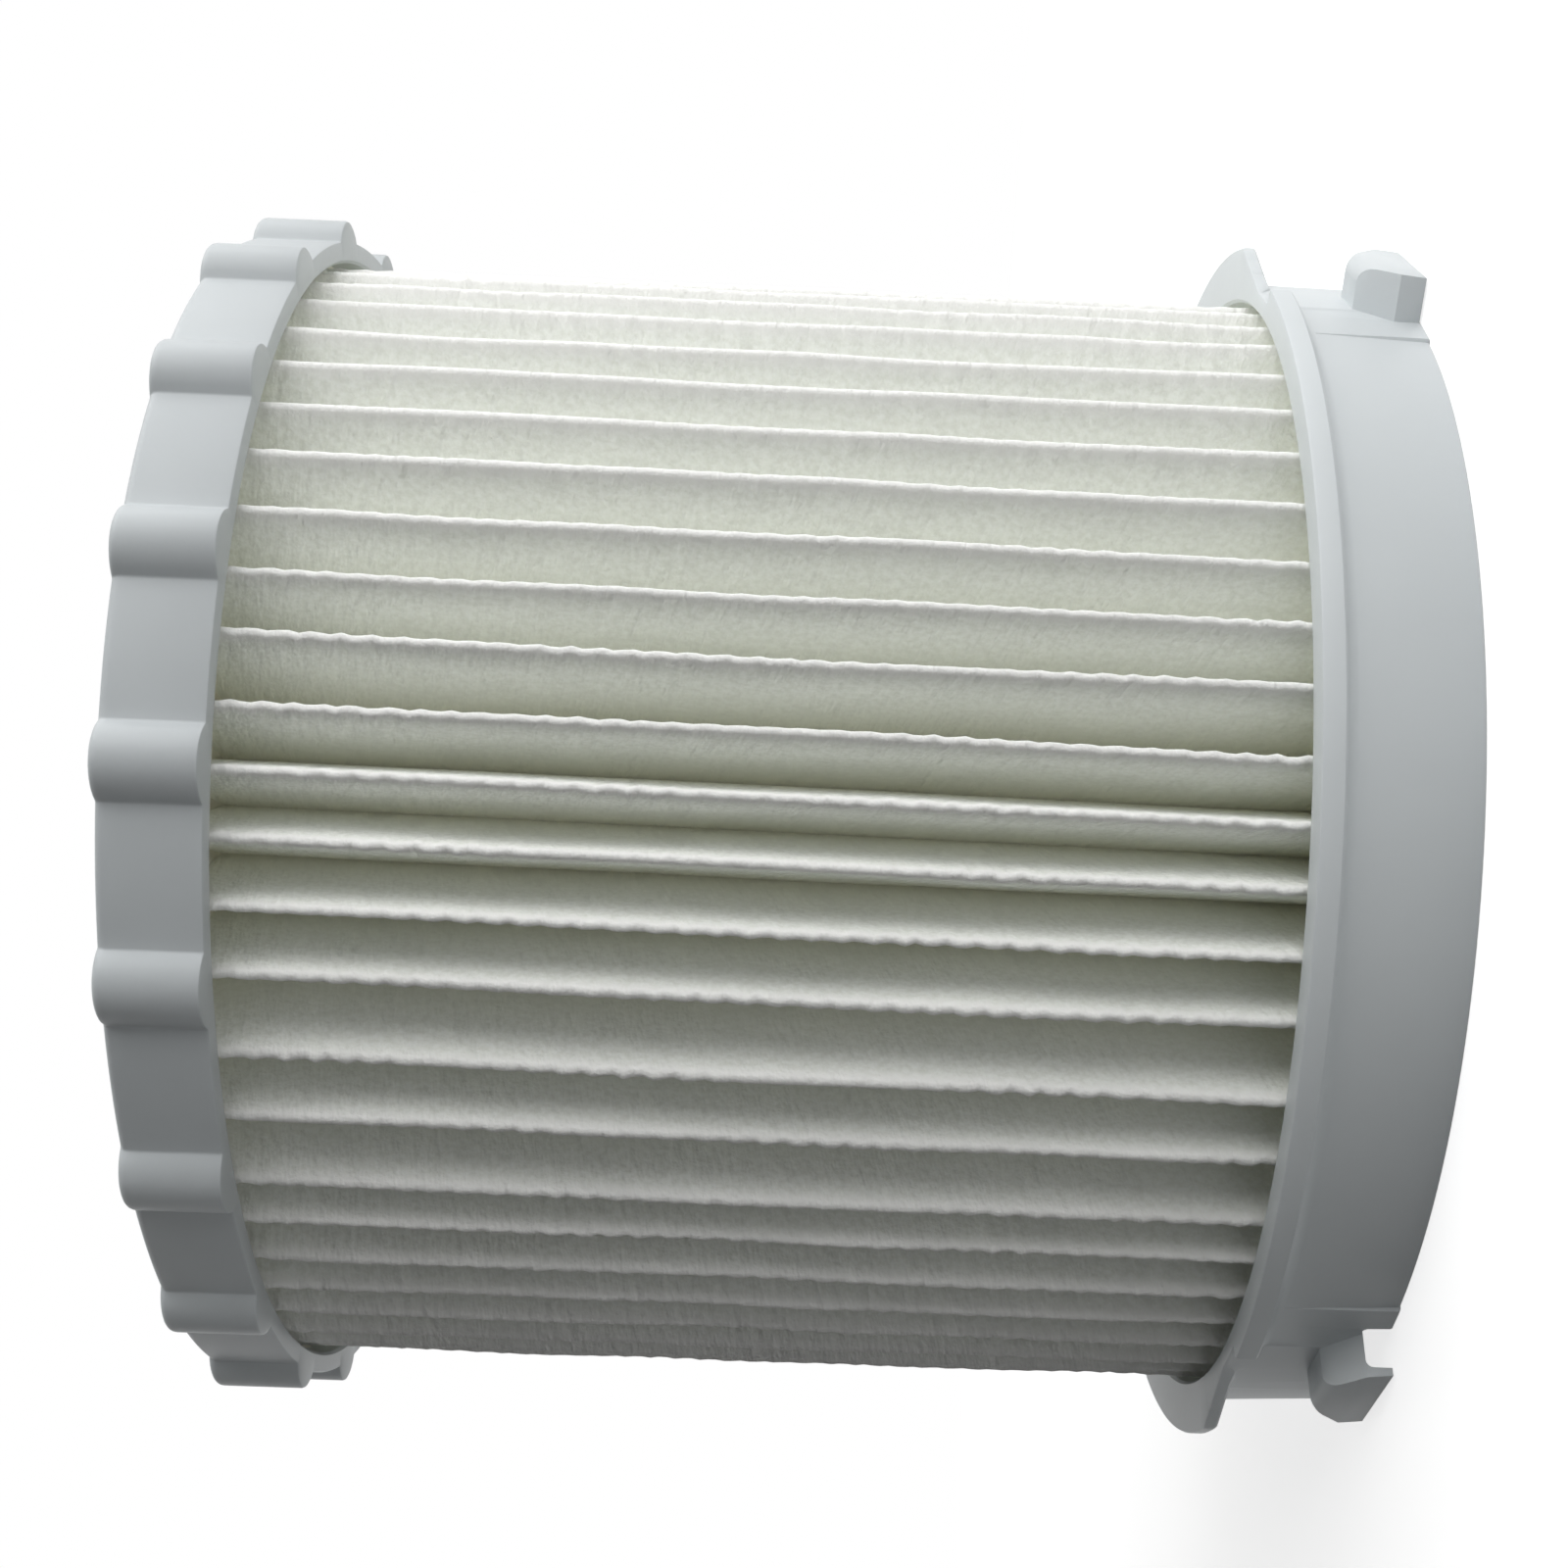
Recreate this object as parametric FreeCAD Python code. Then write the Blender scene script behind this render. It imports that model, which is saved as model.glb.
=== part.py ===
import FreeCAD, Part
import math
import os

# Cylindrical pleated filter cartridge, in millimetres.
# +Z runs along the cartridge axis, from the open collar (rim on z = 0) up to the closed grip cap.
# The front of the collar, midway between two of its hook lugs, faces -Y.

# Overall
filter_length = 99.0
front_deg = -90.0

# Pleated paper
pleat_crest_r = 50.0
pleat_depth = 13.0
pleat_count = 60
paper_t = 0.55
crest_flat = 0.5
pleat_turn_deg = 3.6

# End pans that hold the ends of the paper
pan_gap = 0.4
glue_sink = 3.0

# Grip cap
cap_height = 7.8
cap_wall = 1.8
cap_floor_t = 2.2
cap_dish_depth = 1.0
cap_rim_width = 6.0
cap_chamfer = 0.7
lobe_count = 20
lobe_width = 5.8
lobe_height = 1.7
lobe_turn_deg = -1.2

# Collar
collar_height = 12.4
collar_wall = 1.6
collar_draft = 0.5
floor_z = 4.6
floor_t = 2.4
skirt_wall = 2.2
outlet_ledge = 0.9

# Front lip of the collar
lip_height = 1.3
lip_t = 1.9
lip_half_deg = 55.5

# Back flange of the collar
flange_height = 3.0
flange_t = 1.2
flange_start_deg = 61.0
flange_ramp_deg = 10.0

# Hook lugs on raised pads: two beside the front and one at the back
lug_spread_deg = 117.4
pad_t = 0.3
pad_half_deg = 9.7
lug_height = 3.3
lug_top_z = 5.2
lug_top_half = 2.3
lug_round = 1.2
toe_half = 5.2
toe_gap = 2.4
toe_taper = 0.2
toe_tip_z = 0.2
slot_depth = 2.3
slot_over = 0.7
stop_t = 1.6

# Seal under the collar floor
seal_t = 2.6
seal_width = 4.4
seal_gap = 0.2

# Support cage inside the pleats
cage_gap = 0.2
cage_wall = 2.0
cage_sides = 12
cage_rows = 2
cage_bar = 9.3
cage_ring = 4.0
cage_sleeve = 9.0

# Radii that follow from the sizes above
valley_r = pleat_crest_r - pleat_depth
cage_r = valley_r - cage_gap
cage_flat_r = cage_r * math.cos(math.pi / cage_sides)
cage_bore_r = cage_flat_r - cage_wall
outlet_r = cage_bore_r - outlet_ledge
pan_r = pleat_crest_r + pan_gap
cap_r = pan_r + cap_wall
collar_r = pan_r + collar_wall
rim_r = collar_r - collar_draft
skirt_bore_r = rim_r - skirt_wall
seal_r = skirt_bore_r - seal_gap
lip_r = collar_r + lip_height
flange_r = collar_r + flange_height
lug_r = collar_r + lug_height
root_r = (skirt_bore_r + rim_r) / 2

# Heights that follow
cap_base_z = filter_length - cap_height
cap_floor_z = filter_length - cap_dish_depth - cap_floor_t
cap_glue_z = cap_base_z + glue_sink
pan_floor_z = floor_z + floor_t
sleeve_z = pan_floor_z + cage_sleeve
collar_glue_z = collar_height - glue_sink
lip_z = collar_height - lip_t

axis_origin = FreeCAD.Vector(0, 0, 0)
axis_up = FreeCAD.Vector(0, 0, 1)


def polar(radius, degrees, z=0.0):
    turn = math.radians(degrees)
    return FreeCAD.Vector(radius * math.cos(turn), radius * math.sin(turn), z)


def line(start, end):
    return Part.makeLine(start, end)


def arc(start, middle, end):
    return Part.Arc(start, middle, end).toShape()


def section_point(radius, z):
    return FreeCAD.Vector(radius, 0, z)


def section_face(points):
    return Part.Face(Part.makePolygon([section_point(r, z) for r, z in points + points[:1]]))


def turned(shape, degrees):
    copy = shape.copy()
    copy.rotate(axis_origin, axis_up, degrees)
    return copy


def ring(points):
    return section_face(points).revolve(axis_origin, axis_up, 360)


def sector(face, centre_deg, half_deg):
    return turned(face, centre_deg - half_deg).revolve(axis_origin, axis_up, 2 * half_deg)


def tube(inner_r, outer_r, low_z, high_z):
    return ring([(inner_r, low_z), (outer_r, low_z), (outer_r, high_z), (inner_r, high_z)])


# Pleats: one folded sheet. Each crest is a pressed fold, a flat top between two short bevels set
# about the inner fold line by the paper's thickness, and each flank is the tangent from there to
# the outer fold line of the valley.
def pleat_pack():
    half_pitch = 180.0 / pleat_count
    fold_crest = polar(pleat_crest_r - paper_t, 0)
    fold_valley = polar(valley_r + paper_t, half_pitch)
    run = fold_valley - fold_crest
    to_normal = math.acos(paper_t / run.Length)
    run_angle = math.atan2(run.y, run.x)
    normal = polar(paper_t, math.degrees(run_angle - to_normal))
    crest_end = fold_crest + normal
    crest_top = FreeCAD.Vector(pleat_crest_r, crest_flat / 2, 0)
    valley_start = fold_valley - normal

    def mirrored(point):
        return FreeCAD.Vector(point.x, -point.y, 0)

    def closed_wire(points):
        corners = []
        for index in range(pleat_count):
            turn = FreeCAD.Rotation(axis_up, front_deg + pleat_turn_deg + index * 2 * half_pitch)
            corners += [turn.multVec(point) for point in points]
        return Part.makePolygon(corners + corners[:1])

    outside = closed_wire([mirrored(crest_end), mirrored(crest_top), crest_top, crest_end, fold_valley])
    next_valley = FreeCAD.Rotation(axis_up, 2 * half_pitch).multVec(mirrored(valley_start))
    inside = closed_wire([fold_crest, valley_start, next_valley])
    sheet = Part.makeFace([outside, inside], "Part::FaceMakerBullseye")
    sheet.translate(axis_up * collar_glue_z)
    return sheet.extrude(axis_up * (cap_glue_z - collar_glue_z))


# Grip cap: a round wall with half-round finger lobes, closed by a dished end.
def lobed_outline(inset, z):
    half_width = lobe_width / 2
    root_x = math.sqrt(cap_r ** 2 - half_width ** 2)
    crest_x = cap_r + lobe_height
    rise = crest_x - root_x
    lobe_r = (rise ** 2 + half_width ** 2) / (2 * rise)
    lobe_x = crest_x - lobe_r
    wall_r = cap_r - inset
    bulge_r = lobe_r - inset
    meet = (wall_r ** 2 + lobe_x ** 2 - bulge_r ** 2) / (2 * wall_r * lobe_x)
    meet_deg = math.degrees(math.acos(meet))
    pitch_deg = 360.0 / lobe_count
    edges = []
    for index in range(lobe_count):
        centre = front_deg + lobe_turn_deg + index * pitch_deg
        lobe_start = polar(wall_r, centre - meet_deg, z)
        lobe_end = polar(wall_r, centre + meet_deg, z)
        next_start = polar(wall_r, centre + pitch_deg - meet_deg, z)
        edges.append(arc(lobe_start, polar(lobe_x + bulge_r, centre, z), lobe_end))
        edges.append(arc(lobe_end, polar(wall_r, centre + pitch_deg / 2, z), next_start))
    return Part.Wire(edges)


def grip_cap():
    shoulder_z = filter_length - cap_chamfer
    wall = Part.Face(lobed_outline(0, cap_base_z)).extrude(axis_up * (shoulder_z - cap_base_z))
    crown = Part.makeLoft([lobed_outline(0, shoulder_z), lobed_outline(cap_chamfer, filter_length)], True, True)
    body = wall.fuse(crown)
    pan = Part.makeCylinder(pan_r, cap_floor_z - cap_base_z, FreeCAD.Vector(0, 0, cap_base_z))
    dish_r = cap_r - cap_rim_width
    dish_z = filter_length - cap_dish_depth
    dish = Part.makeCone(dish_r - cap_dish_depth, dish_r, cap_dish_depth, FreeCAD.Vector(0, 0, dish_z))
    return body.cut([pan, dish]).removeSplitter()


# Collar: a drafted skirt, a pan that takes the paper, a floor with the outlet, and fittings outside.
def collar_ring():
    return ring([
        (rim_r, 0),
        (collar_r, collar_height),
        (pan_r, collar_height),
        (pan_r, pan_floor_z),
        (outlet_r, pan_floor_z),
        (outlet_r, floor_z),
        (skirt_bore_r, floor_z),
        (skirt_bore_r, 0),
    ])


def front_lip():
    profile = section_face([
        (pan_r, lip_z - (lip_r - pan_r)),
        (lip_r, lip_z),
        (lip_r, collar_height),
        (pan_r, collar_height),
    ])
    return sector(profile, front_deg, lip_half_deg)


def back_flange():
    low_z = collar_height - flange_t

    def end_points(side):
        start_deg = front_deg + side * flange_start_deg
        full_deg = start_deg + side * flange_ramp_deg
        return polar(flange_r, full_deg, low_z), polar(collar_r, start_deg, low_z), polar(pan_r, start_deg, low_z)

    right_tip, right_foot, right_root = end_points(1)
    left_tip, left_foot, left_root = end_points(-1)
    back_deg = front_deg + 180
    outline = Part.Wire([
        arc(right_tip, polar(flange_r, back_deg, low_z), left_tip),
        line(left_tip, left_foot),
        line(left_foot, left_root),
        arc(left_root, polar(pan_r, back_deg, low_z), right_root),
        line(right_root, right_foot),
        line(right_foot, right_tip),
    ])
    return Part.Face(outline).extrude(axis_up * flange_t)


def lug_pad(centre_deg):
    skin = section_face([
        (root_r, 0),
        (rim_r + pad_t, 0),
        (collar_r + pad_t, collar_height),
        (pan_r, collar_height),
        (pan_r, pan_floor_z),
        (root_r, pan_floor_z),
    ])
    return sector(skin, centre_deg, pad_half_deg)


# The hook is its side section drawn across the rim, trimmed by its plan seen from outside. The slot
# then leaves its toe in front of the rim, open to one side and closed by a stop at the other.
def hook_lug(centre_deg):
    corner = lug_round * (1 - math.sqrt(0.5))
    round_start = section_point(lug_r - lug_round, lug_top_z)
    round_middle = section_point(lug_r - corner, lug_top_z - corner)
    round_end = section_point(lug_r, lug_top_z - lug_round)
    corners = [
        round_end,
        section_point(lug_r - toe_taper, toe_tip_z),
        section_point(root_r, toe_tip_z),
        section_point(root_r, lug_top_z),
        round_start,
    ]
    edges = [arc(round_start, round_middle, round_end)]
    edges += [line(start, end) for start, end in zip(corners, corners[1:])]
    side = Part.Face(Part.Wire(edges))
    side.translate(FreeCAD.Vector(0, -toe_half, 0))
    bar = side.extrude(FreeCAD.Vector(0, 2 * toe_half, 0))

    plan_points = [(lug_top_half, lug_top_z), (toe_half, slot_depth), (toe_half, 0)]
    plan_points += [(-across, z) for across, z in reversed(plan_points)]
    plan = Part.makePolygon([FreeCAD.Vector(0, across, z) for across, z in plan_points + plan_points[:1]])
    trim = Part.Face(plan).extrude(FreeCAD.Vector(2 * lug_r, 0, 0))
    return turned(bar.common(trim), centre_deg)


def hook_slot(centre_deg):
    inside_r = skirt_bore_r - skirt_wall
    closed_y = stop_t - toe_half
    block = Part.makeBox(collar_r + toe_gap - inside_r, toe_half + slot_over - closed_y, 2 * slot_depth)
    block.translate(FreeCAD.Vector(inside_r, closed_y, -slot_depth))
    return turned(block, centre_deg)


def bayonet_collar():
    half_spread = lug_spread_deg / 2
    lug_degs = [front_deg - half_spread, front_deg + half_spread, front_deg + 180]
    fittings = [front_lip(), back_flange()]
    fittings += [lug_pad(degrees) for degrees in lug_degs]
    fittings += [hook_lug(degrees) for degrees in lug_degs]
    shell = collar_ring().fuse(fittings).cut([hook_slot(degrees) for degrees in lug_degs])
    return shell.removeSplitter()


def outlet_seal():
    return tube(seal_r - seal_width, seal_r, floor_z - seal_t, floor_z)


# Cage: a many-sided tube standing on the collar's pan floor under the cap floor, open in rows of
# windows, one on each side, above a round sleeve that carries the outlet's bore on.
def cage_outline(corner_r, z):
    pitch_deg = 360.0 / cage_sides
    corners = [polar(corner_r, front_deg + (side + 0.5) * pitch_deg, z) for side in range(cage_sides)]
    return Part.Face(Part.makePolygon(corners + corners[:1]))


def cage_prism(corner_r, low_z, high_z):
    return cage_outline(corner_r, low_z).extrude(axis_up * (high_z - low_z))


def support_cage():
    bore_corner_r = cage_bore_r / math.cos(math.pi / cage_sides)
    mouth = Part.makeCylinder(outlet_r, cage_sleeve, FreeCAD.Vector(0, 0, pan_floor_z))
    inside = cage_prism(bore_corner_r, sleeve_z, cap_floor_z)
    body = cage_prism(cage_r, pan_floor_z, cap_floor_z).cut([mouth, inside])
    open_height = cap_base_z - sleeve_z
    window_height = (open_height - (cage_rows - 1) * cage_ring) / cage_rows
    window_width = 2 * cage_r * math.sin(math.pi / cage_sides) - cage_bar
    windows = []
    for row in range(cage_rows):
        low_z = sleeve_z + row * (window_height + cage_ring)
        block = Part.makeBox(2 * cage_wall, window_width, window_height)
        block.translate(FreeCAD.Vector(cage_flat_r - 1.5 * cage_wall, -window_width / 2, low_z))
        windows += [turned(block, front_deg + side * 360.0 / cage_sides) for side in range(cage_sides)]
    return body.cut(windows)


# Glue: each ring fills its pan between the wall and the cage, up to the ends of the paper.
def glue_ring(low_z, high_z):
    disc = Part.makeCylinder(pan_r, high_z - low_z, FreeCAD.Vector(0, 0, low_z))
    return disc.cut(cage_prism(cage_r, low_z, high_z))


parts = {
    "grip_cap": grip_cap(),
    "pleat_pack": pleat_pack(),
    "support_cage": support_cage(),
    "cap_glue_ring": glue_ring(cap_glue_z, cap_floor_z),
    "collar_glue_ring": glue_ring(pan_floor_z, collar_glue_z),
    "bayonet_collar": bayonet_collar(),
    "outlet_seal": outlet_seal(),
}

os.makedirs("parts", exist_ok=True)
for name, shape in parts.items():
    shape.exportStep("parts/" + name + ".step")
    print(name, "solids", len(shape.Solids), "valid", shape.isValid(), "mm3", round(shape.Volume))
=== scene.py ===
import math
import random

import bmesh
import bpy
from mathutils import Matrix, Vector, noise


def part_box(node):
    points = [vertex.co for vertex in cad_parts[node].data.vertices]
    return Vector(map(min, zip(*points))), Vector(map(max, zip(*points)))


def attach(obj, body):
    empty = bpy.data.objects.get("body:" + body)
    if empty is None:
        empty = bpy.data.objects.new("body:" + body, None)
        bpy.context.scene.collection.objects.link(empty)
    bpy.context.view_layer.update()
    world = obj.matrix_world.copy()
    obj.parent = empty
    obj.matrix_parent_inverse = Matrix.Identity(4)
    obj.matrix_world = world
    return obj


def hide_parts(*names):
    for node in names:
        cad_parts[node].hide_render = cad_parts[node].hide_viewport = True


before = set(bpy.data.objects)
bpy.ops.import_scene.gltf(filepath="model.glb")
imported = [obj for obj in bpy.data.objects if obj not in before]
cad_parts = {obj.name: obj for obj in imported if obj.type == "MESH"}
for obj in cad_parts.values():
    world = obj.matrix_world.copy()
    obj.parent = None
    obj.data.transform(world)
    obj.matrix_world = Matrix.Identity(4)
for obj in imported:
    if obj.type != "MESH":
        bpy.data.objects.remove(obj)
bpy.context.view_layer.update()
mm = 0.001
front = math.radians(-90)
near = 0.001  # mm, for points that lie at one place
roundMid = 0.3  # how far in the middle of a small edge round lies, as a share of the round
print("frame loaded:", sorted(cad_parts))


# Shader helpers

# Sockets of a Mix node when it mixes colours
mixShare, mixFrom, mixTo, mixOut = 0, 6, 7, 2


def colour(code):
    # sRGB hex to the linear values that a shader takes
    parts = [int(code[i:i + 2], 16) / 255 for i in (1, 3, 5)]
    return [p / 12.92 if p <= 0.04045 else ((p + 0.055) / 1.055) ** 2.4 for p in parts] + [1.0]


def addNode(tree, kind, inputs, **settings):
    # A socket gets a link where the value is another socket, and a plain value otherwise
    node = tree.nodes.new("ShaderNode" + kind)
    for name, value in settings.items():
        setattr(node, name, value)
    for name, value in inputs.items():
        if isinstance(value, bpy.types.NodeSocket):
            tree.links.new(value, node.inputs[name])
        else:
            node.inputs[name].default_value = value
    return node.outputs


def newMaterial(name):
    material = bpy.data.materials.new(name)
    material.use_nodes = True
    tree = material.node_tree
    tree.nodes.clear()
    place = addNode(tree, "TexCoord", {})["Object"]
    inMm = addNode(tree, "VectorMath", {0: place, "Scale": 1 / mm}, operation="SCALE")["Vector"]
    return material, tree, inMm


def finishMaterial(tree, inputs):
    shader = addNode(tree, "BsdfPrincipled", inputs)["BSDF"]
    addNode(tree, "OutputMaterial", {"Surface": shader})


# Plastics, glue and rubber: what all of them share, then each one's tints, and its patterns in mm.
# The moulded grain is drawn coarser than the real one, so that it shows
plasticBase = {"ior": 1.53, "specular": 0.3, "roughSpread": 0.05}
# White ABS, injection moulded with a satin, faintly grained skin; the collar's copy is a little lighter,
# as painted light for the stronger light that falls on the collar
capLook = {
    "light": "#BFC4C6", "shade": "#B8BDBF", "roughness": 0.42,
    "mottle": 14.0, "grain": 0.45, "grainDepth": 0.006,
}
collarLitLook = {
    "light": "#D2D7D9", "shade": "#CBD0D2", "roughness": 0.42,
    "mottle": 14.0, "grain": 0.45, "grainDepth": 0.006,
}
# Cast glue, off-white, a little uneven
glueLook = {
    "light": "#F0EEE2", "shade": "#E4E1D0", "roughness": 0.5,
    "mottle": 5.0, "grain": 1.8, "grainDepth": 0.08,
}
# Polypropylene cage, moulded, natural white
cageLook = {
    "light": "#E6E8E6", "shade": "#DADCD9", "roughness": 0.5,
    "mottle": 12.0, "grain": 0.6, "grainDepth": 0.01,
}
# Soft foamed rubber, dark grey
rubberLook = {
    "light": "#3C3D3E", "shade": "#2B2C2D", "roughness": 0.8,
    "mottle": 2.0, "grain": 0.35, "grainDepth": 0.03,
}


def mouldedPlastic(name, look):
    material, tree, inMm = newMaterial(name)
    mottle = addNode(tree, "TexNoise", {"Vector": inMm, "Scale": 1 / look["mottle"], "Detail": 3.0})["Fac"]
    grain = addNode(tree, "TexNoise", {"Vector": inMm, "Scale": 1 / look["grain"], "Detail": 2.0})["Fac"]
    tint = addNode(tree, "Mix", {
        mixShare: mottle, mixFrom: colour(look["shade"]), mixTo: colour(look["light"])},
        data_type="RGBA")[mixOut]
    rough = addNode(tree, "MapRange", {
        "Value": grain, "To Min": look["roughness"] - plasticBase["roughSpread"],
        "To Max": look["roughness"] + plasticBase["roughSpread"]})["Result"]
    bump = addNode(tree, "Bump", {
        "Height": grain, "Strength": 1.0, "Distance": look["grainDepth"] * mm})["Normal"]
    finishMaterial(tree, {
        "Base Color": tint, "Roughness": rough, "IOR": plasticBase["ior"],
        "Specular IOR Level": plasticBase["specular"], "Normal": bump})
    return material


# Pleated nonwoven filter paper: fibrous and mottled, ribbed slantwise by the rollers, painted whiter along
# the crests as a painted highlight and creamier towards the valleys as painted shade. The fibres are drawn
# coarser than real ones, so that they show. Sizes are in mm, and the ends of the valley shade and of the
# crest highlight are depths below the crest
paperLook = {
    # The deep tint is painted shade in the valleys, and the fold tint a painted highlight along the crests
    "light": "#FCFEF9", "shade": "#EFF1EA", "valleyShade": "#F6F6EC", "fold": "#FAFAF7",
    "roughness": 0.95, "specular": 0.15, "scatter": 0.4,
    "fibre": 0.55, "fibreDepth": 0.12, "mottleFrom": 0.35, "mottleTo": 0.65,
    "rib": 0.9, "ribLength": 4.0, "ribSlant": 0.2, "ribDepth": 0.32,
    "valleyR": 38.0, "crestR": 50.0, "valleyShadeTo": 4.0, "highlightFrom": 1.5, "highlightTo": 0.4,
}


def filterPaper(name, look):
    material, tree, inMm = newMaterial(name)
    axes = addNode(tree, "SeparateXYZ", {"Vector": inMm})
    flat = addNode(tree, "CombineXYZ", {"X": axes["X"], "Y": axes["Y"]})["Vector"]
    radius = addNode(tree, "VectorMath", {0: flat}, operation="LENGTH")["Value"]
    fibre = addNode(tree, "TexNoise", {
        "Vector": inMm, "Scale": 1 / look["fibre"], "Detail": 3.0, "Roughness": 0.6})["Fac"]
    # Ribs run slantwise down the flank, and differ from pleat to pleat
    slant = addNode(tree, "Math", {0: radius, 1: look["ribSlant"], 2: axes["Z"]},
                    operation="MULTIPLY_ADD")["Value"]
    across = addNode(tree, "Math", {0: slant, 1: look["rib"]}, operation="DIVIDE")["Value"]
    along = addNode(tree, "Math", {0: radius, 1: look["ribLength"]}, operation="DIVIDE")["Value"]
    other = addNode(tree, "Math", {0: axes["X"], 1: look["ribLength"]}, operation="DIVIDE")["Value"]
    ribPlace = addNode(tree, "CombineXYZ", {"X": across, "Y": along, "Z": other})["Vector"]
    rib = addNode(tree, "TexNoise", {"Vector": ribPlace, "Scale": 1.0, "Detail": 2.0})["Fac"]
    # Painted shade makes the colour creamier towards the valley, and a painted highlight whiter at the
    # crest's fold
    depth = addNode(tree, "MapRange", {
        "Value": radius, "From Min": look["valleyR"],
        "From Max": look["crestR"] - look["valleyShadeTo"]})["Result"]
    fold = addNode(tree, "MapRange", {
        "Value": radius, "From Min": look["crestR"] - look["highlightFrom"],
        "From Max": look["crestR"] - look["highlightTo"]})["Result"]
    mottle = addNode(tree, "MapRange", {
        "Value": fibre, "From Min": look["mottleFrom"], "From Max": look["mottleTo"]})["Result"]
    speckle = addNode(tree, "Mix", {
        mixShare: mottle, mixFrom: colour(look["shade"]), mixTo: colour(look["light"])},
        data_type="RGBA")[mixOut]
    # Painted shade, creamier towards the valleys
    valleyShaded = addNode(tree, "Mix", {mixShare: depth, mixFrom: colour(look["valleyShade"]), mixTo: speckle},
                     data_type="RGBA")[mixOut]
    # Painted highlight, whiter along the crests
    tint = addNode(tree, "Mix", {mixShare: fold, mixFrom: valleyShaded, mixTo: colour(look["fold"])},
                   data_type="RGBA")[mixOut]
    # Fibres standing every way scatter the light, so that a flank is shaded less by its tilt
    radial = addNode(tree, "VectorMath", {0: flat}, operation="NORMALIZE")["Vector"]
    outward = addNode(tree, "VectorMath", {0: radial, "Scale": look["scatter"]}, operation="SCALE")["Vector"]
    surface = addNode(tree, "NewGeometry", {})["Normal"]
    tilted = addNode(tree, "VectorMath", {0: surface, 1: outward}, operation="ADD")["Vector"]
    facing = addNode(tree, "VectorMath", {0: tilted}, operation="NORMALIZE")["Vector"]
    fine = addNode(tree, "Bump", {
        "Height": fibre, "Distance": look["fibreDepth"] * mm, "Normal": facing})["Normal"]
    bump = addNode(tree, "Bump", {
        "Height": rib, "Distance": look["ribDepth"] * mm, "Normal": fine})["Normal"]
    finishMaterial(tree, {
        "Base Color": tint, "Roughness": look["roughness"],
        "Specular IOR Level": look["specular"], "Normal": bump})
    return material


capPlastic = mouldedPlastic("white ABS, injection moulded satin", capLook)
# The collar's copy of the white ABS is painted lighter: painted light for the stronger light on the collar
collarLitPlastic = mouldedPlastic("lighter white ABS, injection moulded satin", collarLitLook)
paper = filterPaper("nonwoven filter paper, embossed and pleated", paperLook)
glue = mouldedPlastic("off-white polyurethane glue, cast", glueLook)
cagePlastic = mouldedPlastic("natural polypropylene, moulded", cageLook)
rubber = mouldedPlastic("dark foamed rubber, cut", rubberLook)
print("materials made")


# Shape helpers, in millimetres until a piece is finished

mirrorY = Vector((1, -1, 1))  # takes a point of an outline to the outline's other half


def polar(radius, angle, z=0.0):
    return Vector((radius * math.cos(angle), radius * math.sin(angle), z))


def arcTo(bm, vert, centre, end, steps):
    # Sweeps the vertex about the centre, the short way round to the end point
    start = (vert.co - centre).to_2d()
    goal = (end - centre).to_2d()
    angle = math.atan2(start.x * goal.y - start.y * goal.x, start.dot(goal))
    swept = bmesh.ops.spin(bm, geom=[vert], cent=centre, axis=(0, 0, 1), angle=angle, steps=steps)
    return next(item for item in swept["geom_last"] if isinstance(item, bmesh.types.BMVert))


def lineTo(bm, vert, end, steps=1):
    start = vert.co.copy()
    for step in range(steps):
        following = bm.verts.new(start.lerp(end, (step + 1) / steps))
        bm.edges.new((vert, following))
        vert = following
    return vert


def repeatRound(bm, count):
    bmesh.ops.spin(bm, geom=bm.verts[:] + bm.edges[:], cent=(0, 0, 0), axis=(0, 0, 1), angle=2 * math.pi,
                   steps=count, use_duplicate=True, use_merge=True)
    bmesh.ops.remove_doubles(bm, verts=bm.verts, dist=near)


def turnBy(bm, degrees):
    # Turns a shape made along +X to its place, in degrees from the front
    turn = Matrix.Rotation(front + math.radians(degrees), 3, "Z")
    bmesh.ops.rotate(bm, cent=(0, 0, 0), verts=bm.verts, matrix=turn)


def pushLoop(bm, edges, place):
    # Extrudes a loop of edges and puts each new vertex where place() says
    made = bmesh.ops.extrude_edge_only(bm, edges=edges)["geom"]
    for vert in made:
        if isinstance(vert, bmesh.types.BMVert):
            vert.co = place(vert.co)
    return [item for item in made if isinstance(item, bmesh.types.BMEdge)]


def dress(piece, material, sharp):
    piece.data.materials.clear()
    piece.data.materials.append(material)
    piece.data.shade_smooth()
    piece.data.set_sharp_from_angle(angle=math.radians(sharp))


def addPiece(name, bm, material, node, sharp):
    bmesh.ops.remove_doubles(bm, verts=bm.verts, dist=near)
    bmesh.ops.recalc_face_normals(bm, faces=bm.faces)
    bmesh.ops.scale(bm, vec=(mm, mm, mm), verts=bm.verts)
    mesh = bpy.data.meshes.new(name)
    bm.to_mesh(mesh)
    bm.free()
    piece = bpy.data.objects.new(name, mesh)
    bpy.context.scene.collection.objects.link(piece)
    dress(piece, material, sharp)
    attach(piece, "root")
    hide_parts(node)
    print(name, "faces", len(mesh.polygons))
    return piece


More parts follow.
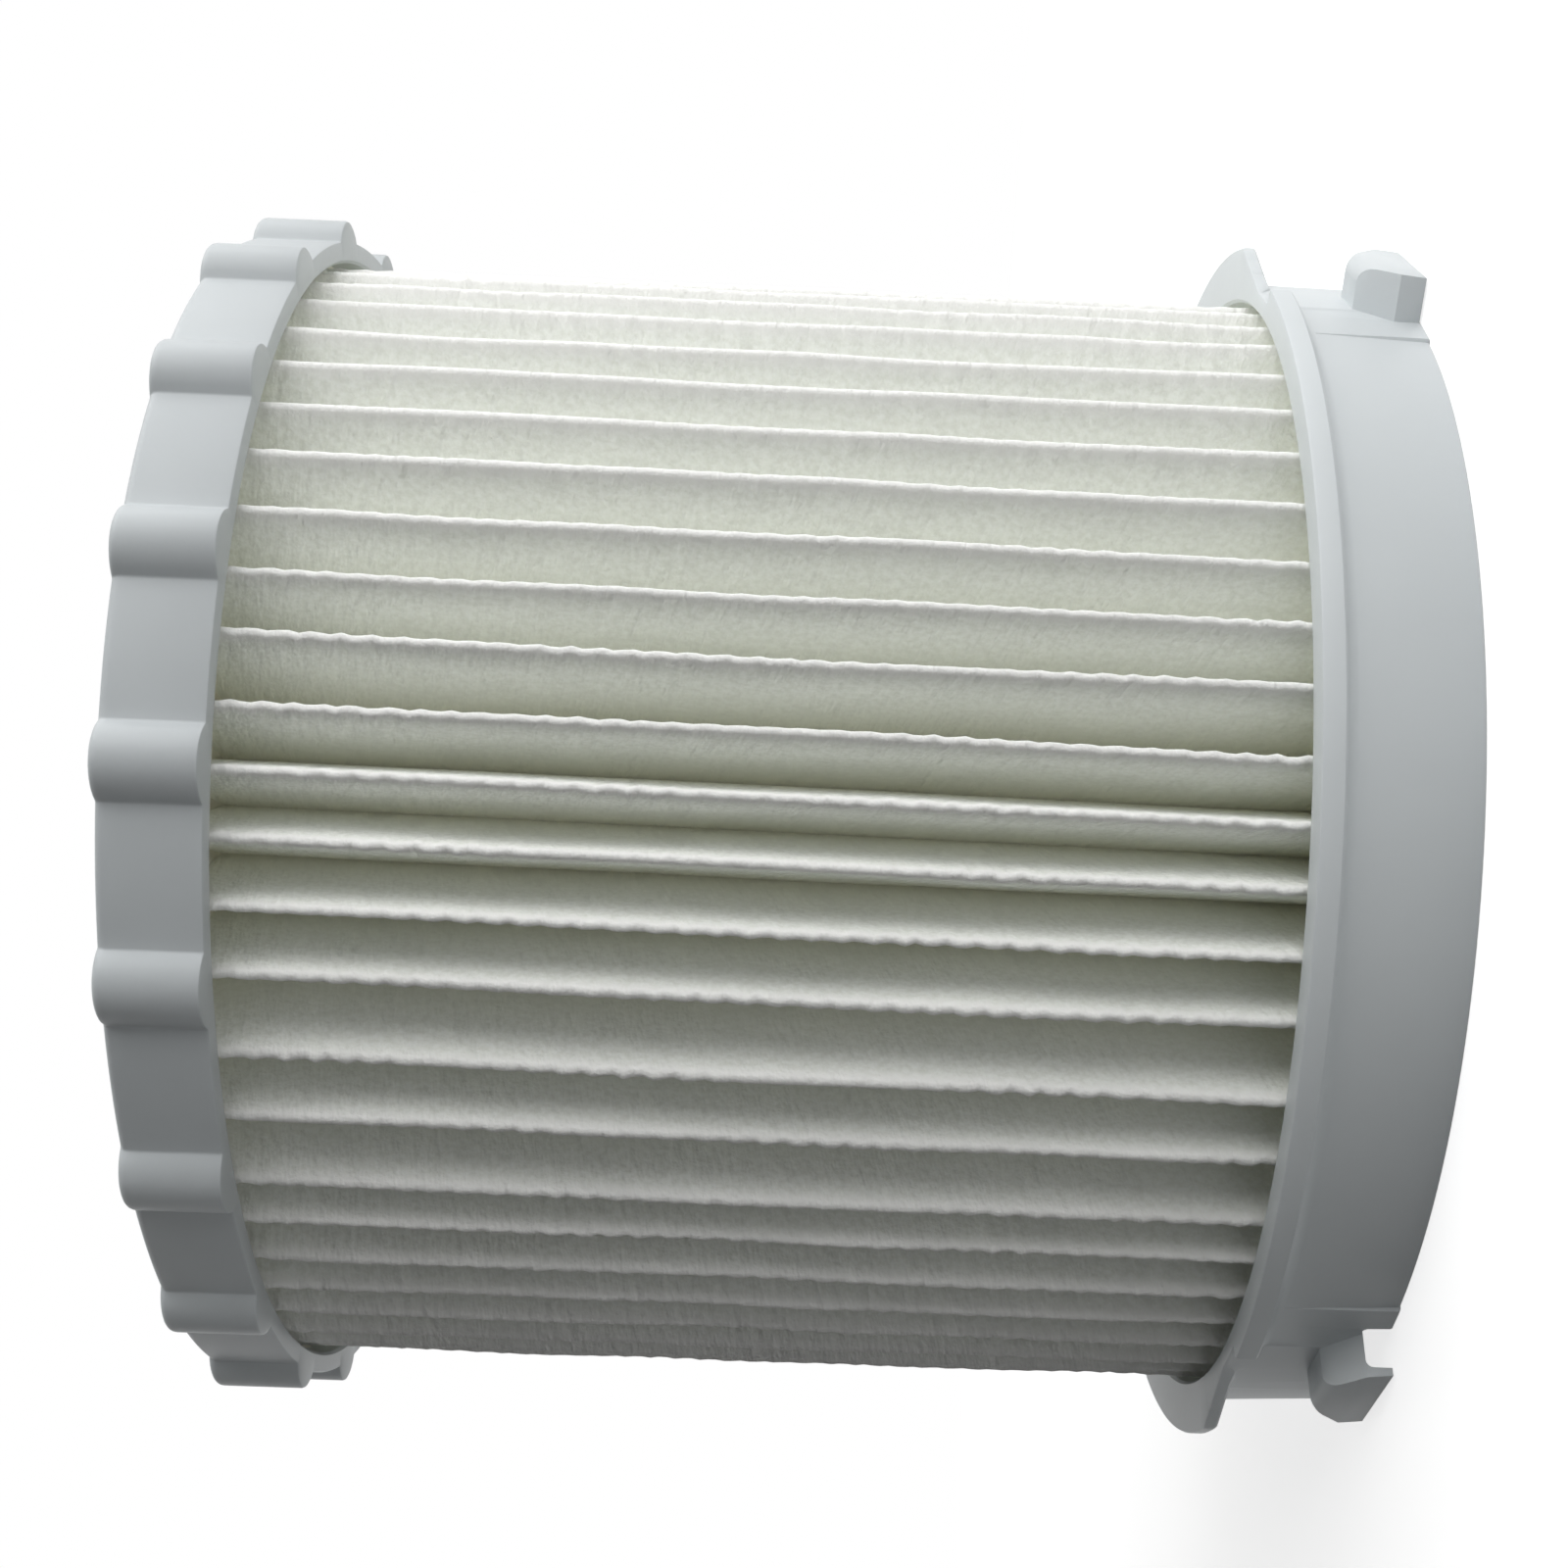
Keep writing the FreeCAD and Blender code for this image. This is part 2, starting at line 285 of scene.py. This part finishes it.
# Pleated paper: one folded sheet with a rounded crest, then bent out of true as hand-set pleats are
pleats = {
    "count": 60, "sheet": 1540.0, "turn": 3.6, "crestR": 50.0, "valleyR": 37.0, "paper": 0.55, "fold": 0.36,
    "foldSteps": 4, "flankSteps": 4, "rows": 112, "innerRows": 24, "sharp": 55,
    # Out of true: wander, sway and twist in degrees, drop, bow and scallop in mm
    "wander": 0.6, "wanderMost": 1.4, "sway": 0.25, "twist": 1.15, "drop": 0.35, "bow": 0.22,
    "scallop": 0.17, "scallopPitch": 2.3, "scallopReach": 1.6, "scallopDrift": 2.2,
    "scallopEven": 0.6, "scallopVary": 0.8, "scallopDip": 0.5, "seed": 7,
    # Degrees out of true of the pleats that face the camera, the first of them firstSeen from the front
    "firstSeen": -12,
    "seen": [0.5, 0.9, 0.5, -0.2, -0.6, -1.5, -0.2, 0.0, 1.4, 1.1, 0.9,
             0.5, 0.0, 0.2, -0.2, -0.3, -0.2, -0.2, -0.2, -0.4, 0.3],
}
# Smooth noise of each bend: its rate from pleat to pleat, its length along a pleat in mm, and its own layer
waver = {
    "sway": (5.3, 30, 1.7), "drift": (3.1, 5, 4.2), "strength": (2.7, 9, 8.8),
    "bow": (1.9, 14, 3.3), "drop": (4.1, 22, 6.1),
}


def raiseWall(bm, low, high, rows):
    # Stands a flat outline up as a wall of even rows
    loop = bm.edges[:]
    for vert in bm.verts:
        vert.co.z = low
    for row in range(rows):
        z = low + (high - low) * (row + 1) / rows
        loop = pushLoop(bm, loop, lambda co: Vector((co.x, co.y, z)))


def pleatSheet(form, low, high):
    bm = bmesh.new()
    half = math.pi / form["count"]
    centre = Vector((form["crestR"] - form["fold"], 0, 0))
    valley = polar(form["valleyR"] + form["paper"], half)
    run = valley - centre
    tangent = math.atan2(run.y, run.x) - math.acos(form["fold"] / run.length)
    touch = centre + polar(form["fold"], tangent)
    normal = polar(form["paper"], tangent)
    # Outer side of one pleat, from valley over the crest to valley
    vert = bm.verts.new(valley * mirrorY)
    vert = lineTo(bm, vert, touch * mirrorY, form["flankSteps"])
    vert = arcTo(bm, vert, centre, centre + Vector((form["fold"], 0, 0)), form["foldSteps"] // 2)
    vert = arcTo(bm, vert, centre, touch, form["foldSteps"] // 2)
    lineTo(bm, vert, valley, form["flankSteps"])
    repeatRound(bm, form["count"])
    raiseWall(bm, low, high, form["rows"])
    # Inner side, one paper thickness in
    inner = bmesh.new()
    vert = inner.verts.new(polar(form["valleyR"], -half))
    for point in ((valley - normal) * mirrorY, centre, valley - normal, polar(form["valleyR"], half)):
        vert = lineTo(inner, vert, point)
    repeatRound(inner, form["count"])
    raiseWall(inner, low, high, form["innerRows"])
    side = bpy.data.meshes.new("inner side")
    inner.to_mesh(side)
    inner.free()
    bm.from_mesh(side)
    bpy.data.meshes.remove(side)
    return bm


def bendPleats(bm, form, low, high):
    dice = random.Random(form["seed"])
    count = form["count"]
    most = form["wanderMost"]
    lean = [max(-most, min(most, dice.gauss(0, form["wander"]))) for _ in range(count)]
    for offset, degrees in enumerate(form["seen"]):
        lean[(form["firstSeen"] + offset) % count] = degrees
    phase = [dice.uniform(0, 2 * math.pi) for _ in range(count)]
    step = 2 * math.pi / count
    start = front + math.radians(form["turn"])
    depth = form["crestR"] - form["valleyR"]

    def wavering(kind, place, z):
        rate, length, layer = waver[kind]
        return noise.noise((place * rate, z / length, layer))

    def swing(index, z):
        # Degrees that one crest stands out of its even place, slowly changing along its length
        return lean[index % count] + form["sway"] * wavering("sway", index, z)

    for vert in bm.verts:
        radius = math.hypot(vert.co.x, vert.co.y)
        place = math.atan2(vert.co.y, vert.co.x) / step
        z = vert.co.z
        index = math.floor(place)
        share = place - index
        crest = round(place)
        rise = max(0.0, (radius - form["valleyR"]) / depth)
        turn = swing(index, z) * (1 - share) + swing(index + 1, z) * share
        turn += form["twist"] * ((z - low) / (high - low) - 0.5)
        lip = math.exp((radius - form["crestR"]) / form["scallopReach"])
        wave = math.sin(2 * math.pi * z / form["scallopPitch"] + phase[crest % count]
                        + form["scallopDrift"] * wavering("drift", crest, z))
        strength = form["scallopEven"] + form["scallopVary"] * wavering("strength", crest, z)
        side = form["scallop"] * wave * strength * lip
        side += form["bow"] * math.sin(math.pi * min(1.0, rise)) * wavering("bow", place, z)
        radius -= form["drop"] * rise * abs(wavering("drop", crest, z))
        radius -= form["scallopDip"] * form["scallop"] * (1 + wave) * strength * lip
        vert.co = polar(radius, start + place * step + math.radians(turn) + side / radius, z)


low, high = [corner.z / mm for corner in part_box("pleat_pack")]
bm = pleatSheet(pleats, low, high)
bendPleats(bm, pleats, low, high)
for z in (low, high):
    rimEdges = [edge for edge in bm.edges
                if edge.is_boundary and all(abs(vert.co.z - z) < near for vert in edge.verts)]
    bmesh.ops.triangle_fill(bm, edges=rimEdges, normal=(0, 0, 1))
paperPiece = addPiece("folded_paper", bm, paper, "pleat_pack", pleats["sharp"])


# Grip cap: a wall with finger lobes swept up to a rounded shoulder, a flat rim and a shallow dish
cap = {
    "wallR": 52.2, "panR": 50.4, "lobes": 20, "lobeWidth": 5.8, "lobeHeight": 1.7, "turn": -1.2,
    "root": 0.3, "floorZ": 95.8, "edge": 0.25, "shoulder": 0.8, "rim": 6.0, "dish": 1.0,
    "wallSteps": 5, "rootSteps": 4, "lobeSteps": 14, "shoulderSteps": 5, "sharp": 40,
}


def lobeOutline(bm, form):
    halfWidth = form["lobeWidth"] / 2
    rootX = math.sqrt(form["wallR"] ** 2 - halfWidth ** 2)
    crestX = form["wallR"] + form["lobeHeight"]
    rise = crestX - rootX
    lobeR = (rise ** 2 + halfWidth ** 2) / (2 * rise)
    lobe = Vector((crestX - lobeR, 0, 0))
    # The root round touches the wall and the lobe
    out = form["wallR"] + form["root"]
    rootAt = (out ** 2 - (lobeR + form["root"]) ** 2 + lobe.x ** 2) / (2 * lobe.x)
    root = Vector((rootAt, math.sqrt(out ** 2 - rootAt ** 2), 0))
    wallTouch = root * (form["wallR"] / out)
    lobeTouch = root + (lobe - root).normalized() * form["root"]
    half = math.pi / form["lobes"]
    axis = Vector((0, 0, 0))
    vert = bm.verts.new(polar(form["wallR"], -half))
    vert = arcTo(bm, vert, axis, wallTouch * mirrorY, form["wallSteps"])
    vert = arcTo(bm, vert, root * mirrorY, lobeTouch * mirrorY, form["rootSteps"])
    vert = arcTo(bm, vert, lobe, lobeTouch, form["lobeSteps"])
    vert = arcTo(bm, vert, root, wallTouch, form["rootSteps"])
    arcTo(bm, vert, axis, polar(form["wallR"], half), form["wallSteps"])
    repeatRound(bm, form["lobes"])


def gripCap(form):
    bm = bmesh.new()
    baseZ, topZ = [corner.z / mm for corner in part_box("grip_cap")]
    lobeOutline(bm, form)
    turnBy(bm, form["turn"])
    edge = form["edge"]
    mid = roundMid * edge
    outline = bm.edges[:]
    for vert in bm.verts:
        vert.co.z = baseZ + edge

    def shift(change, z):
        return lambda co: Vector((co.x, co.y, 0)) * (1 + change / co.to_2d().length) + Vector((0, 0, z))

    def circle(radius, z):
        return lambda co: co.to_2d().normalized().to_3d() * radius + Vector((0, 0, z))

    # Up the wall, over the shoulder, across the rim and into the dish
    loop = pushLoop(bm, outline, shift(0, topZ - form["shoulder"]))
    before = 0.0
    for step in range(form["shoulderSteps"]):
        turn = math.pi / 2 * (step + 1) / form["shoulderSteps"]
        inset = form["shoulder"] * (1 - math.cos(turn))
        loop = pushLoop(bm, loop, shift(before - inset, topZ - form["shoulder"] * (1 - math.sin(turn))))
        before = inset
    dishR = form["wallR"] - form["rim"]
    dishFloorR, dishZ = dishR - form["dish"], topZ - form["dish"]
    for radius, z in ((dishR + edge, topZ), (dishR, topZ - mid),
                      (dishFloorR, dishZ + mid), (dishFloorR - edge, dishZ)):
        loop = pushLoop(bm, loop, circle(radius, z))
    bmesh.ops.contextual_create(bm, geom=loop)
    # Round the lower edge, then up inside the pan
    loop = pushLoop(bm, outline, shift(-mid, baseZ + mid))
    loop = pushLoop(bm, loop, shift(mid - edge, baseZ))
    for radius, z in ((form["panR"] + edge, baseZ), (form["panR"], baseZ + edge),
                      (form["panR"], form["floorZ"])):
        loop = pushLoop(bm, loop, circle(radius, z))
    bmesh.ops.contextual_create(bm, geom=loop)
    return bm


addPiece("lobed_cap", gripCap(cap), capPlastic, "grip_cap", cap["sharp"])


# Bayonet collar: the wall's section swept round, changing where the lip, pads, notches and flange are.
# Places round it are in degrees from the front
collar = {
    "rimR": 51.5, "wallR": 52.0, "panR": 50.4, "boreR": 49.3, "outletR": 32.646,
    "panFloor": 7.0, "floorZ": 4.6, "height": 12.4, "edge": 0.25, "step": 2.0, "jump": 0.06,
    "lipR": 53.3, "lipZ": 10.5, "lipHalf": 55.5, "lipRound": 1.25, "lipEdge": 0.18, "lipDraft": 0.02,
    "lipSteps": 5, "leastLip": 0.05, "spareGap": 0.4, "spareTop": 0.1,
    "flangeR": 55.0, "flangeZ": 11.2, "flangeStart": 61.0, "flangeRamp": 10.0, "flangeRound": 0.5,
    "lugs": (-58.7, 58.7, 180.0), "pad": 0.3, "padHalf": 9.7, "padTop": 9.2,
    "notch": 2.3, "notchFrom": -4.0, "notchTo": 6.6, "notchRound": 0.8, "notchSteps": 6, "sharp": 35,
}


def wrapped(angle):
    return (angle + 180) % 360 - 180


def offLug(rel):
    # Degrees from the nearest lug, with its sign
    return min((wrapped(rel - lug) for lug in collar["lugs"]), key=abs)


def collarSection(rel):
    form = collar
    edge = form["edge"]
    mid = roundMid * edge
    top = form["height"]
    away = offLug(rel)
    pad = form["pad"] if abs(away) < form["padHalf"] else 0.0
    foot = 0.0
    if form["notchFrom"] < away < form["notchTo"]:
        # The notch's roof comes down in a quarter round at its open end
        inside = form["notchRound"] - math.radians(form["notchTo"] - away) * form["rimR"]
        foot = form["notch"] - form["notchRound"] + math.sqrt(form["notchRound"] ** 2 - max(0.0, inside) ** 2)
    turn = abs(wrapped(rel))

    def wall(z):
        # The pad dies out towards the lip
        swell = pad * max(0.0, 1 - z / form["padTop"])
        return form["rimR"] + (form["wallR"] - form["rimR"]) * z / top + swell

    reach, low, rounding = wall(top), top - 2 * edge, 0.0
    if turn < form["lipHalf"]:
        reach, low, rounding = form["lipR"], form["lipZ"], form["lipRound"]
    if turn > form["flangeStart"]:
        # The flange grows along a straight chord from the wall to its full reach
        ramp = math.radians(form["flangeRamp"])
        start, end = polar(form["wallR"], 0), polar(form["flangeR"], ramp)
        at = min(math.radians(turn - form["flangeStart"]), ramp)
        cross = start.x * end.y - start.y * end.x
        chord = cross / ((end.y - start.y) * math.cos(at) + (start.x - end.x) * math.sin(at))
        reach = max(wall(top), min(chord, form["flangeR"]))
        low, rounding = form["flangeZ"], form["flangeRound"]
    over = reach - wall(top)
    lowEdge = min(form["lipEdge"], over / 3)
    rounding = min(rounding, over - lowEdge)
    # A plain stretch has as many points as the lip, so the spare ones are spread up its wall
    plain = over <= form["leastLip"]
    points = [(wall(0) - edge, foot), (wall(0) - mid, foot + mid), (wall(foot + edge), foot + edge)]
    for step in range(form["lipSteps"] + 1):
        bend = math.pi / 2 * step / form["lipSteps"]
        z = low - rounding * (1 - math.sin(bend))
        spare = form["spareGap"] * (form["lipSteps"] - step) if plain else 0.0
        points.append((wall(z) + rounding * (1 - math.cos(bend)), z - spare))
    if plain:
        points += [(reach, low + form["spareTop"]), (reach, low + 2 * form["spareTop"])]
    else:
        points += [(reach - lowEdge, low), (reach, low + lowEdge + form["lipDraft"])]
    points += [(reach, top - edge), (reach - mid, top - mid), (reach - edge, top)]
    points += [(form["panR"] + edge, top), (form["panR"], top - edge), (form["panR"], form["panFloor"])]
    points += [(form["outletR"], form["panFloor"]), (form["outletR"], form["floorZ"])]
    points += [(form["boreR"], form["floorZ"]), (form["boreR"], foot + edge), (form["boreR"] + edge, foot)]
    return points


def collarStations(form):
    # Pairs of a place round the collar and the place whose section it takes. Where the section jumps,
    # a station close on either side takes its section from a little further off
    jump = form["jump"]
    ends = (-form["padHalf"], form["padHalf"], form["notchFrom"], form["notchTo"])
    jumps = [-form["lipHalf"], form["lipHalf"]] + [lug + end for lug in form["lugs"] for end in ends]
    stations = [(at - jump, at - 2 * jump) for at in jumps] + [(at + jump, at + 2 * jump) for at in jumps]
    half = round(180 / form["step"])
    even = [form["step"] * index for index in range(1 - half, half + 1)]
    even += [side * (form["flangeStart"] + part) for side in (-1, 1) for part in (0, form["flangeRamp"])]
    stations += [(angle, angle) for angle in even
                 if min(abs(wrapped(angle - at)) for at in jumps) > 3 * jump]
    corner = math.degrees(form["notchRound"] / form["rimR"])
    for lug in form["lugs"]:
        for part in range(form["notchSteps"]):
            bend = math.pi / 2 * part / form["notchSteps"]
            angle = lug + form["notchTo"] - corner * (1 - math.sin(bend))
            stations.append((angle, angle))
    return sorted(((angle + 180) % 360, sample) for angle, sample in stations)


def collarShell(form):
    bm = bmesh.new()
    stations = collarStations(form)

    def placed(angle, sample):
        return [polar(r, front + math.radians(angle + 180), z) for r, z in collarSection(sample)]

    chain = [bm.verts.new(point) for point in placed(*stations[0])]
    loop = [bm.edges.new(pair) for pair in zip(chain, chain[1:] + chain[:1])]
    for angle, sample in stations[1:] + stations[:1]:
        made = bmesh.ops.extrude_edge_only(bm, edges=loop)["geom"]
        loop = [item for item in made if isinstance(item, bmesh.types.BMEdge)]
        fresh = [item for item in made if isinstance(item, bmesh.types.BMVert)]
        following = {}
        for vert in fresh:
            beside = [edge.other_vert(vert) for edge in vert.link_edges]
            following[next(old for old in beside if old not in fresh)] = vert
        chain = [following[old] for old in chain]
        for vert, point in zip(chain, placed(angle, sample)):
            vert.co = point
    return bm


# Hook lugs: a stem that flares down to a slot, with a toe in front of it and a stop at one side.
# flat and sharp are the angles, in degrees, up to which faces are one and from which edges are rounded
hook = {
    "rootR": 50.4, "toeR": 54.4, "outR": 55.3, "topZ": 5.2, "slotZ": 2.3, "tipZ": 0.2,
    "topHalf": 2.3, "toeHalf": 5.2, "stop": 1.6, "taper": 0.2, "flat": 1, "sharp": 25, "sunk": 0.1,
    "crown": 1.2, "crownSteps": 5, "corner": 0.6, "cornerSteps": 4, "edge": 0.25, "edgeSteps": 2,
}


def roundEdges(bm, edges, offset, steps):
    bmesh.ops.bevel(bm, geom=edges, offset=offset, offset_type="OFFSET", affect="EDGES", segments=steps,
                    profile=0.5, material=-1, clamp_overlap=True)
    bm.normal_update()


def hookLug(form, rel):
    bm = bmesh.new()
    half = form["toeHalf"]
    columns = (form["rootR"], form["toeR"], form["outR"])
    rows = (-half, form["stop"] - half, half)
    bmesh.ops.create_grid(bm, x_segments=2, y_segments=2, size=1)
    for vert in bm.verts:
        vert.co = (columns[round(vert.co.x) + 1], rows[round(vert.co.y) + 1], form["slotZ"])
    # Stem: all four fields go up and draw in
    made = bmesh.ops.extrude_face_region(bm, geom=bm.faces[:])["geom"]
    for vert in made:
        if isinstance(vert, bmesh.types.BMVert):
            vert.co.y *= form["topHalf"] / half
            vert.co.z = form["topZ"]

    def lies(vert, axis, value):
        return abs(vert.co[axis] - value) < near

    def inSlot(face):
        middle = face.calc_center_median()
        return middle.x < form["toeR"] and middle.y > form["stop"] - half

    # Toe and stop: every field but the slot's goes down to the tip
    sole = [face for face in bm.faces
            if all(lies(vert, 2, form["slotZ"]) for vert in face.verts) and not inSlot(face)]
    made = bmesh.ops.extrude_face_region(bm, geom=sole)["geom"]
    for vert in made:
        if isinstance(vert, bmesh.types.BMVert):
            vert.co.z = form["tipZ"]
            if lies(vert, 0, form["outR"]):
                vert.co.x -= form["taper"]
    bmesh.ops.delete(bm, geom=sole, context="FACES")
    bmesh.ops.recalc_face_normals(bm, faces=bm.faces)
    bmesh.ops.dissolve_limit(bm, angle_limit=math.radians(form["flat"]), verts=bm.verts, edges=bm.edges)
    crown = [edge for edge in bm.edges
             if all(lies(vert, 2, form["topZ"]) and lies(vert, 0, form["outR"]) for vert in edge.verts)]
    roundEdges(bm, crown, form["crown"], form["crownSteps"])
    sharp = math.radians(form["sharp"])
    corners = [edge for edge in bm.edges if not edge.is_convex and edge.calc_face_angle(0) > sharp]
    roundEdges(bm, corners, form["corner"], form["cornerSteps"])
    # The edges at the root are sunk in the collar's wall and stay as they are
    crisp = [edge for edge in bm.edges if edge.is_convex and edge.calc_face_angle(0) > sharp
             and min(vert.co.x for vert in edge.verts) > form["rootR"] + form["sunk"]]
    roundEdges(bm, crisp, form["edge"], form["edgeSteps"])
    turnBy(bm, rel)
    bmesh.ops.scale(bm, vec=(mm, mm, mm), verts=bm.verts)
    mesh = bpy.data.meshes.new("hook")
    bm.to_mesh(mesh)
    bm.free()
    return mesh


def joinHooks(piece, form, lugs):
    # The hooks are one moulding with the collar
    hooks = bmesh.new()
    for rel in lugs:
        lugMesh = hookLug(form, rel)
        hooks.from_mesh(lugMesh)
        bpy.data.meshes.remove(lugMesh)
    hookMesh = bpy.data.meshes.new("hooks")
    hooks.to_mesh(hookMesh)
    hooks.free()
    hookPiece = bpy.data.objects.new("hooks", hookMesh)
    bpy.context.scene.collection.objects.link(hookPiece)
    union = piece.modifiers.new("join hooks", "BOOLEAN")
    union.operation = "UNION"
    union.solver = "EXACT"
    union.object = hookPiece
    view = bpy.context.evaluated_depsgraph_get()
    joined = bpy.data.meshes.new_from_object(piece.evaluated_get(view))
    piece.modifiers.clear()
    piece.data = joined
    bpy.data.objects.remove(hookPiece)


collarPiece = addPiece("hooked_collar", collarShell(collar), collarLitPlastic, "bayonet_collar",
                       collar["sharp"])
joinHooks(collarPiece, hook, collar["lugs"])
dress(collarPiece, collarLitPlastic, collar["sharp"])
print("collar with hooks, faces", len(collarPiece.data.polygons))


# Inner pieces keep their solids and take their materials
inner = {
    "sharp": 30,
    "materials": {
        "support_cage": cagePlastic, "cap_glue_ring": glue, "collar_glue_ring": glue, "outlet_seal": rubber,
    },
}
for node, material in inner["materials"].items():
    dress(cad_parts[node], material, inner["sharp"])
print("inner pieces dressed")


# Stage: a pale floor that the camera sees white but for the shadow, and a white surround; sizes in metres
stage = {
    "floor": 1.6, "floorTint": "#D4D4D4", "floorGlow": 0.75, "whiteFrom": 0.20, "whiteTo": 0.45,
    "white": "#FFFFFF", "ambient": 0.02, "bounces": 12,
}


def seenRays(tree):
    # 1 where the camera looks, also by way of a shiny or clear surface, and 0 for light on the object
    rays = addNode(tree, "LightPath", {})
    seen = rays["Is Camera Ray"]
    for kind in ("Is Glossy Ray", "Is Transmission Ray"):
        seen = addNode(tree, "Math", {0: seen, 1: rays[kind]}, operation="MAXIMUM")["Value"]
    return seen


floorMesh = bpy.data.meshes.new("floor")
plane = bmesh.new()
bmesh.ops.create_grid(plane, x_segments=1, y_segments=1, size=stage["floor"] / 2)
plane.to_mesh(floorMesh)
plane.free()
floor = bpy.data.objects.new("floor", floorMesh)
bpy.context.scene.collection.objects.link(floor)
floorLook = bpy.data.materials.new("pale studio paper")
floorLook.use_nodes = True
tree = floorLook.node_tree
tree.nodes.clear()
seen = seenRays(tree)
base = addNode(tree, "BsdfDiffuse", {"Color": colour(stage["floorTint"])})["BSDF"]
glowLevel = addNode(tree, "Math", {0: seen, 1: stage["floorGlow"]}, operation="MULTIPLY")["Value"]
glow = addNode(tree, "Emission", {"Color": colour(stage["white"]), "Strength": glowLevel})["Emission"]
close = addNode(tree, "AddShader", {0: base, 1: glow})["Shader"]
# Away from the object the camera sees plain white, so that the floor's end doesn't show
place = addNode(tree, "TexCoord", {})["Object"]
away = addNode(tree, "VectorMath", {0: place}, operation="LENGTH")["Value"]
far = addNode(tree, "MapRange", {
    "Value": away, "From Min": stage["whiteFrom"], "From Max": stage["whiteTo"]})["Result"]
farSeen = addNode(tree, "Math", {0: far, 1: seen}, operation="MULTIPLY")["Value"]
white = addNode(tree, "Emission", {"Color": colour(stage["white"]), "Strength": 1.0})["Emission"]
shown = addNode(tree, "MixShader", {0: farSeen, 1: close, 2: white})["Shader"]
addNode(tree, "OutputMaterial", {"Surface": shown})
floorMesh.materials.append(floorLook)

world = bpy.data.worlds.new("white surround")
bpy.context.scene.world = world
world.use_nodes = True
tree = world.node_tree
tree.nodes.clear()
level = addNode(tree, "MapRange", {
    "Value": seenRays(tree), "To Min": stage["ambient"], "To Max": 1.0})["Result"]
background = addNode(tree, "Background", {"Color": colour(stage["white"]), "Strength": level})["Background"]
addNode(tree, "OutputWorld", {"Surface": background})

# Soft boxes, in metres and watts: a broad key over the picture's top edge, which is +X, a smaller one
# nearer the camera, a weak one beside it, and two more that light the back and the cap's end
softBoxes = {
    "key": {"at": (0.42, -0.15, 0.30), "size": 0.7, "power": 2.9},
    "front": {"at": (0.35, -0.40, 0.20), "size": 0.4, "power": 0.75},
    "eye": {"at": (0.10, -0.50, 0.10), "size": 0.4, "power": 0.15},
    "back": {"at": (-0.22, 0.55, 0.07), "size": 0.14, "power": 1.1},
    "over": {"at": (0.28, 0.10, 0.85), "size": 0.5, "power": 1.2},
}
aim = Vector((0, 0, 0.05))  # half way up the cartridge
for name, form in softBoxes.items():
    lamp = bpy.data.lights.new(name, "AREA")
    lamp.shape = "SQUARE"
    lamp.size = form["size"]
    lamp.energy = form["power"]
    box = bpy.data.objects.new(name, lamp)
    bpy.context.scene.collection.objects.link(box)
    box.location = form["at"]
    box.visible_glossy = name == "key"  # only the key shines on the plastic
    box.rotation_euler = (aim - box.location).to_track_quat("-Z", "Y").to_euler()


# Camera, fitted to the photograph: the cartridge lies on its side there, so the camera is rolled.
# focal, axisX, axisY and frame are in the photograph's pixels, distance and height in mm, round in degrees,
# yaw, pitch and roll in radians, clip in metres
shot = {
    "focal": 2094.41, "axisX": 880.23, "axisY": 978.97, "frame": 1600.0, "sensor": 36.0, "clip": 0.01,
    "distance": 198.066, "height": 47.13, "round": -4.85, "yaw": -0.01935, "pitch": 0.05958, "roll": 0.03876,
}
turned = Matrix.Rotation(shot["roll"], 3, "Z") @ Matrix.Rotation(shot["pitch"], 3, "X")
turned = turned @ Matrix.Rotation(shot["yaw"], 3, "Y")
aroundAxis = Matrix.Rotation(math.radians(shot["round"]), 3, "Z")
right, down, ahead = [aroundAxis @ Vector((-row[1], row[2], -row[0])) for row in turned]
lens = bpy.data.cameras.new("photo view")
lens.sensor_width = shot["sensor"]
lens.lens = shot["sensor"] * shot["focal"] / shot["frame"]
lens.shift_x = 0.5 - shot["axisX"] / shot["frame"]
lens.shift_y = shot["axisY"] / shot["frame"] - 0.5
lens.clip_start = shot["clip"]
camera = bpy.data.objects.new("photo view", lens)
bpy.context.scene.collection.objects.link(camera)
camera.matrix_world = Matrix((right, -down, -ahead)).transposed().to_4x4()
camera.location = aroundAxis @ Vector((0, -shot["distance"], shot["height"])) * mm
bpy.context.scene.camera = camera
bpy.context.scene.view_settings.view_transform = "Standard"
bpy.context.scene.cycles.diffuse_bounces = stage["bounces"]  # light goes many times between white pleats
print("stage, lights and camera set")
